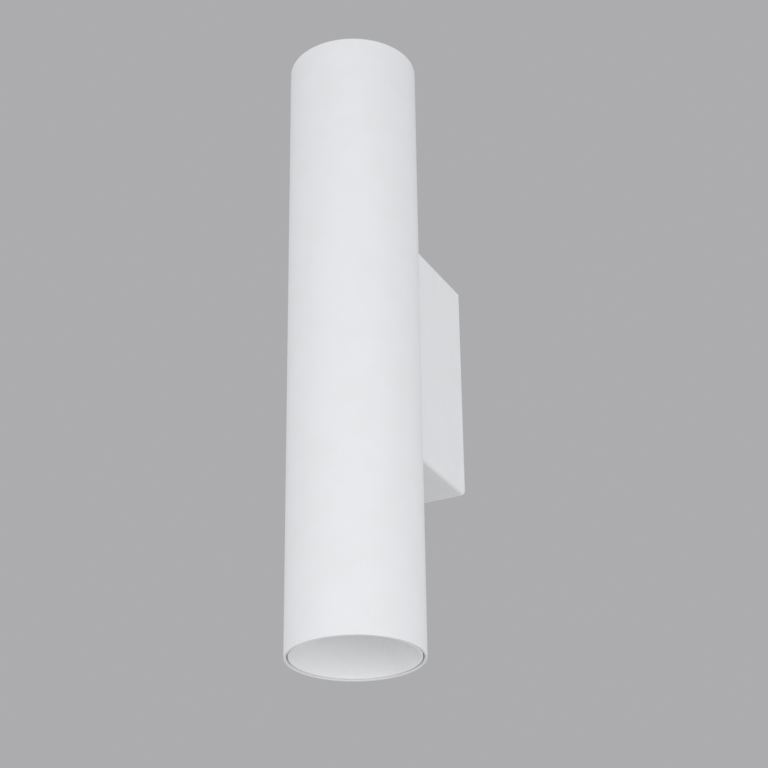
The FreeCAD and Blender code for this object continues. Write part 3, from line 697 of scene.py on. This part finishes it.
def makeWallPlate():
    size = plateSizes
    x = size["width"] / 2
    z = size["height"] / 2
    t = size["thickness"]
    halfTab = size["tabWidth"] / 2
    plate = addBlock("wallPlate", (-x, -t, -z), (x, 0, z))
    pick(plate, "EDGE", isAlongY)
    roundPicked(size["corner"], 6)
    # the sheet is divided across at the tabs, and each tab is drawn out of its front
    for place, direction in ((-halfTab, 0), (halfTab, 0), (z - t, 2), (t - z, 2)):
        normal = tuple(1 if axis == direction else 0 for axis in range(3))
        point = tuple(place if axis == direction else 0 for axis in range(3))
        makeActive(plate)
        setMode("EDIT")
        bpy.ops.mesh.select_all(action="SELECT")
        bpy.ops.mesh.bisect(plane_co=point, plane_no=normal)
        setMode("OBJECT")

    def isTabRoot(centre, normal):
        return normal.y < -0.9 and abs(centre.x) < halfTab and abs(centre.z) > z - t

    pick(plate, "FACE", isTabRoot)
    bpy.ops.mesh.extrude_region_move(TRANSFORM_OT_translate={"value": (0, t - size["tabDepth"], 0)})
    setMode("OBJECT")
    for low in (size["slotHeight"], -size["slotHeight"]):
        slotBar = addThrough(0, low, size["slotRadius"])
        makeActive(slotBar)
        bpy.ops.object.transform_apply(location=True, rotation=True, scale=True)
        pick(slotBar, "VERT", lambda point: point.z > low + tolerance)
        bpy.ops.transform.translate(value=(0, 0, size["slotStraight"] / 2))
        setMode("OBJECT")
        pick(slotBar, "VERT", lambda point: point.z < low - tolerance)
        bpy.ops.transform.translate(value=(0, 0, -size["slotStraight"] / 2))
        setMode("OBJECT")
        cutOut(plate, slotBar)
    cutOut(plate, addThrough(0, 0, size["entryHole"]))
    segments = size["smallHoleSegments"]
    blockX, blockZ, blockRadius = size["blockHoles"]
    for side in (blockX, -blockX):
        cutOut(plate, addThrough(side, blockZ, blockRadius, segments))
    cutOut(plate, addUpright(-size["tabHoleToWall"], z + cutterReach, size["tabHole"], segments))
    softenEdges(plate, size["edgeRounding"])
    standFor(plate, "wall_plate", edged=True)


# The nylon bush in the plate's cable entry.
bushSizes = {
    "bore": 4.5 * mm,
    "barrel": 5.95 * mm,
    "flange": 7.95 * mm,
    "barrelLength": 1.5 * mm,
    "length": 2.7 * mm,
    "rounding": 0.4 * mm,
}


def makePlateBush():
    size = bushSizes
    profile = [
        (size["bore"], 0),
        (size["barrel"], 0),
        (size["barrel"], size["barrelLength"]),
        (size["flange"], size["barrelLength"]),
        (size["flange"], size["length"]),
        (size["bore"], size["length"]),
    ]
    bush = turnProfile("plateBush", profile, 64)
    roundRings(bush, [profile[0], profile[4], profile[5]], size["rounding"], 4)
    standFor(bush, "plate_bush", turn=(math.pi / 2, 0, 0))


# The reflector: a ring just inside the tube's end, and a gently curved cone down to a collar.
reflectorSizes = {
    "outer": 28.25 * mm,
    "mouth": 27.2 * mm,
    "throat": 22 * mm,
    "collar": 24.4 * mm,
    "end": 147.5 * mm,
    "skirt": 143.5 * mm,
    "collarTop": 123 * mm,
    "bottom": 118 * mm,
    "bulge": 0.64 * mm,
    "curveSteps": 14,
    "lipRounding": 0.35 * mm,
    "footRounding": 0.3 * mm,
    "segments": 160,
}


def makeReflectors():
    size = reflectorSizes
    profile = [
        (size["collar"], size["bottom"]),
        (size["collar"], size["collarTop"]),
        (size["outer"], size["skirt"]),
        (size["outer"], size["end"]),
    ]
    # the inner face bulges a little towards the axis
    narrowing = size["mouth"] - size["throat"]
    depth = size["end"] - size["bottom"]
    for step in range(size["curveSteps"] + 1):
        way = step / size["curveSteps"]
        bulge = 4 * size["bulge"] * way * (1 - way)
        profile.append((size["mouth"] - narrowing * way - bulge, size["end"] - depth * way))
    reflector = turnProfile("reflector", profile, size["segments"])
    lips = [(size["outer"], size["end"]), (size["mouth"], size["end"])]
    feet = [(size["throat"], size["bottom"]), (size["collar"], size["bottom"])]
    roundRings(reflector, lips, size["lipRounding"], 4)
    roundRings(reflector, feet, size["footRounding"], 3)
    standAtEnds(reflector, "reflector")


# Three leaf springs that hold a reflector in the tube.
clipSizes = {
    "count": 3,
    "width": 6 * mm,
    "thickness": 0.4 * mm,
    "foot": (24.7 * mm, 118.1 * mm, 123 * mm),  # distance from the axis, lower end, upper end
    "belly": (28.1 * mm, 134 * mm),  # distance from the axis, height
    "tip": (27.7 * mm, 138 * mm),
    "bend": 1.6 * mm,
    "edgeRounding": 0.08 * mm,
}


def makeClips():
    size = clipSizes
    footRadius, footLow, footTop = size["foot"]
    bpy.ops.mesh.primitive_plane_add(size=1, rotation=(0, math.pi / 2, 0))
    clips = nameNew("clips")
    bpy.ops.object.transform_apply(location=True, rotation=True, scale=True)
    setMode("EDIT")
    bpy.ops.mesh.select_all(action="SELECT")
    bpy.ops.transform.resize(value=(1, size["width"], footTop - footLow), center_override=(0, 0, 0))
    bpy.ops.transform.translate(value=(footRadius, 0, (footTop + footLow) / 2))
    setMode("OBJECT")
    radius, height = footRadius, footTop
    for nextRadius, nextHeight in (size["belly"], size["tip"]):
        pick(clips, "EDGE", lambda start, end: min(start.z, end.z) > height - tolerance)
        move = (nextRadius - radius, 0, nextHeight - height)
        bpy.ops.mesh.extrude_edges_move(TRANSFORM_OT_translate={"value": move})
        setMode("OBJECT")
        radius, height = nextRadius, nextHeight
    creases = (footTop, size["belly"][1])

    def isCrease(start, end):
        return any(max(abs(start.z - z), abs(end.z - z)) < tolerance for z in creases)

    pick(clips, "EDGE", isCrease)
    roundPicked(size["bend"], 6)
    makeActive(clips)
    setMode("EDIT")
    tidyMesh()
    applyModifier(clips, "SOLIDIFY", {"thickness": size["thickness"], "offset": 0})
    softenEdges(clips, size["edgeRounding"])
    makeActive(clips)
    setMode("EDIT")
    bpy.ops.mesh.select_all(action="SELECT")
    for _ in range(size["count"] - 1):
        bpy.ops.mesh.duplicate()
        bpy.ops.transform.rotate(value=math.tau / size["count"], orient_axis="Z", center_override=(0, 0, 0))
    setMode("OBJECT")
    standAtEnds(clips, "reflector_clips")


# The lamp: a shell with a rim round its lens, cooling grooves down the cone and a straight neck.
lampSizes = {
    "rim": 25 * mm,
    "rimHeight": 6 * mm,
    "top": 117.4 * mm,
    "neck": 15.5 * mm,
    "coneFoot": 83.4 * mm,
    "base": 68.4 * mm,
    "lensSeat": 115.1 * mm,
    "lens": 23 * mm,
    "baseRounding": 0.8 * mm,
    "rimRounding": 0.35 * mm,
    "grooves": 24,
    "grooveEnds": 0.12,  # plain share of the cone at each end of the grooves
    "grooveScale": 0.96,
    "segments": 144,
}


def makeLampBodies():
    size = lampSizes
    rimFoot = size["top"] - size["rimHeight"]
    rise = rimFoot - size["coneFoot"]
    spread = size["rim"] - size["neck"]
    plain = size["grooveEnds"]
    grooveLow, grooveHigh = [
        (size["neck"] + share * spread, size["coneFoot"] + share * rise) for share in (plain, 1 - plain)
    ]
    profile = [
        (size["neck"] - size["baseRounding"], size["base"]),
        (size["neck"], size["base"] + size["baseRounding"]),
        (size["neck"], size["coneFoot"]),
        grooveLow,
        grooveHigh,
        (size["rim"], rimFoot),
        (size["rim"], size["top"]),
        (size["lens"], size["top"]),
        (size["lens"], size["lensSeat"]),
    ]
    lamp = turnProfile("lampBody", profile, size["segments"], solid=True)
    period = math.tau / size["grooves"]

    def isGroove(centre, normal):
        onCone = grooveLow[1] < centre.z < grooveHigh[1] and reach(centre) > size["neck"]
        return onCone and math.atan2(centre.y, centre.x) % period < period / 2

    pick(lamp, "FACE", isGroove)
    bpy.ops.mesh.extrude_region_move()
    shrink = size["grooveScale"]
    bpy.ops.transform.resize(value=(shrink, shrink, 1), center_override=(0, 0, 0))
    setMode("OBJECT")
    rims = [(size["rim"], size["top"]), (size["rim"], rimFoot), (size["lens"], size["top"])]
    roundRings(lamp, rims, size["rimRounding"], 3)
    standAtEnds(lamp, "lamp_body")


# The lens: a flat land at its edge, a small step down, and a round boss in the middle.
lensSizes = {
    "radius": 22.9 * mm,
    "bottom": 115.1 * mm,
    "top": 117.1 * mm,
    "land": 1.6 * mm,
    "step": 0.35 * mm,
    "boss": 5 * mm,
    "rounding": 0.12 * mm,
    "segments": 96,
}


def makeLampLenses():
    size = lensSizes
    inner = size["radius"] - size["land"]
    low = size["top"] - size["step"]
    profile = [
        (size["radius"], size["bottom"]),
        (size["radius"], size["top"]),
        (inner, size["top"]),
        (inner - size["step"], low),
        (size["boss"] + 2 * size["step"], low),
        (size["boss"], size["top"]),
    ]
    lens = turnProfile("lampLens", profile, size["segments"], solid=True)
    roundRings(lens, [profile[1], profile[2], profile[5]], size["rounding"], 2)
    standAtEnds(lens, "lamp_lens")


makeTube()
makeWallBox()
makeBoxScrews()
makeWallPlate()
makePlateBush()
makeReflectors()
makeClips()
makeLampBodies()
makeLampLenses()


# Floor, light and camera

stageSizes = {
    "floorHeight": -1.5,
    "floorSize": 14,
    "floorColour": tint(208, 208, 205),
    "fade": (0.7, 2.6),
    "background": tint(172, 172, 174),
    "ambient": (0.75, 0.75, 0.76, 1),
}


# Whether a ray comes from the camera, or shows what metal reflects or glass lets through.
def seenDirectly(tree):
    rays = tree.nodes.new("ShaderNodeLightPath")
    seen = Signal(tree, rays.outputs["Is Camera Ray"])
    for kind in ("Is Glossy Ray", "Is Transmission Ray"):
        seen = seen.maths("MAXIMUM", seen, Signal(tree, rays.outputs[kind]))
    return seen


def mixSurfaces(tree, factor, first, second, output):
    choice = tree.nodes.new("ShaderNodeMixShader")
    feed(choice.inputs[0], factor)
    tree.links.new(first.outputs[0], choice.inputs[1])
    tree.links.new(second.outputs[0], choice.inputs[2])
    tree.links.new(choice.outputs[0], output.inputs["Surface"])


# The floor fades into the background's grey away from the object, so that no horizon shows.
def makeFloor():
    size = stageSizes
    bpy.ops.mesh.primitive_plane_add(size=size["floorSize"], location=(0, 0, size["floorHeight"]))
    floor = nameNew("floor")
    material, place = newMaterial("floor")
    patches = place.noise(1.2, 3)
    sockets = {"Base Color": size["floorColour"], "Roughness": 0.85 + 0.1 * patches}
    finishMaterial(material, place, sockets, place.noise(300, 2), 0.2 * mm)
    tree = material.node_tree
    far = tree.nodes.new("ShaderNodeEmission")
    far.inputs["Color"].default_value = size["background"]
    distance = place.node("ShaderNodeVectorMath", {"operation": "LENGTH"}, {0: place}, output=1)
    faded = distance.between(*size["fade"]) * seenDirectly(tree)
    mixSurfaces(tree, faded, tree.nodes["Principled BSDF"], far, tree.nodes["Material Output"])
    floor.data.materials.append(material)


# The camera sees a plain grey, and the object is lit by a paler sky.
def makeSky():
    size = stageSizes
    world = bpy.data.worlds.new("studio")
    bpy.context.scene.world = world
    world.use_nodes = True
    tree = world.node_tree
    sky = tree.nodes["Background"]
    sky.inputs["Color"].default_value = size["ambient"]
    seen = tree.nodes.new("ShaderNodeBackground")
    seen.inputs["Color"].default_value = size["background"]
    mixSurfaces(tree, seenDirectly(tree), sky, seen, tree.nodes["World Output"])


# Each soft lamp: its place, its size across and its power in watts. All face the object.
lampPlaces = {
    "leftLamp": ((-0.85, -2.0, -0.25), 1.4, 10.0),
    "rightLamp": ((2.0, -0.56, -0.5), 1.4, 9.3),
    "frontLamp": ((0.79, -1.68, -1.0), 0.9, 2.8),
    "lowLamp": ((0.61, -0.72, -1.15), 0.6, 1.5),
}


def makeLamps():
    for name, (place, width, power) in lampPlaces.items():
        aim = (Vector((0, -axisToWall, 0)) - Vector(place)).to_track_quat("-Z", "Y")
        bpy.ops.object.light_add(type="AREA", location=place, rotation=aim.to_euler())
        lamp = bpy.context.object
        lamp.name = name
        lamp.data.shape = "DISK"
        lamp.data.size = width
        lamp.data.energy = power


# The camera stands in front, low and to the right, and looks up.
cameraSizes = {
    "place": (0.3520, -0.7393, -0.4085),
    "turn": math.radians(26.55),
    "pitch": math.radians(27.05),
    "roll": math.radians(-0.71),
    "lens": 89.86,
}


def makeCamera():
    size = cameraSizes
    turn = Matrix.Rotation(size["turn"], 4, "Z")
    tilt = Matrix.Rotation(math.pi / 2 + size["pitch"], 4, "X")
    roll = Matrix.Rotation(size["roll"], 4, "Z")
    bpy.ops.object.camera_add(location=size["place"], rotation=(turn @ tilt @ roll).to_euler())
    camera = bpy.context.object
    camera.name = "photoCamera"
    camera.data.lens = size["lens"]
    camera.data.clip_start = 0.01
    camera.data.clip_end = 50
    bpy.context.scene.camera = camera


makeFloor()
makeSky()
makeLamps()
makeCamera()
bpy.context.scene.view_settings.view_transform = "Standard"
print("stage made")
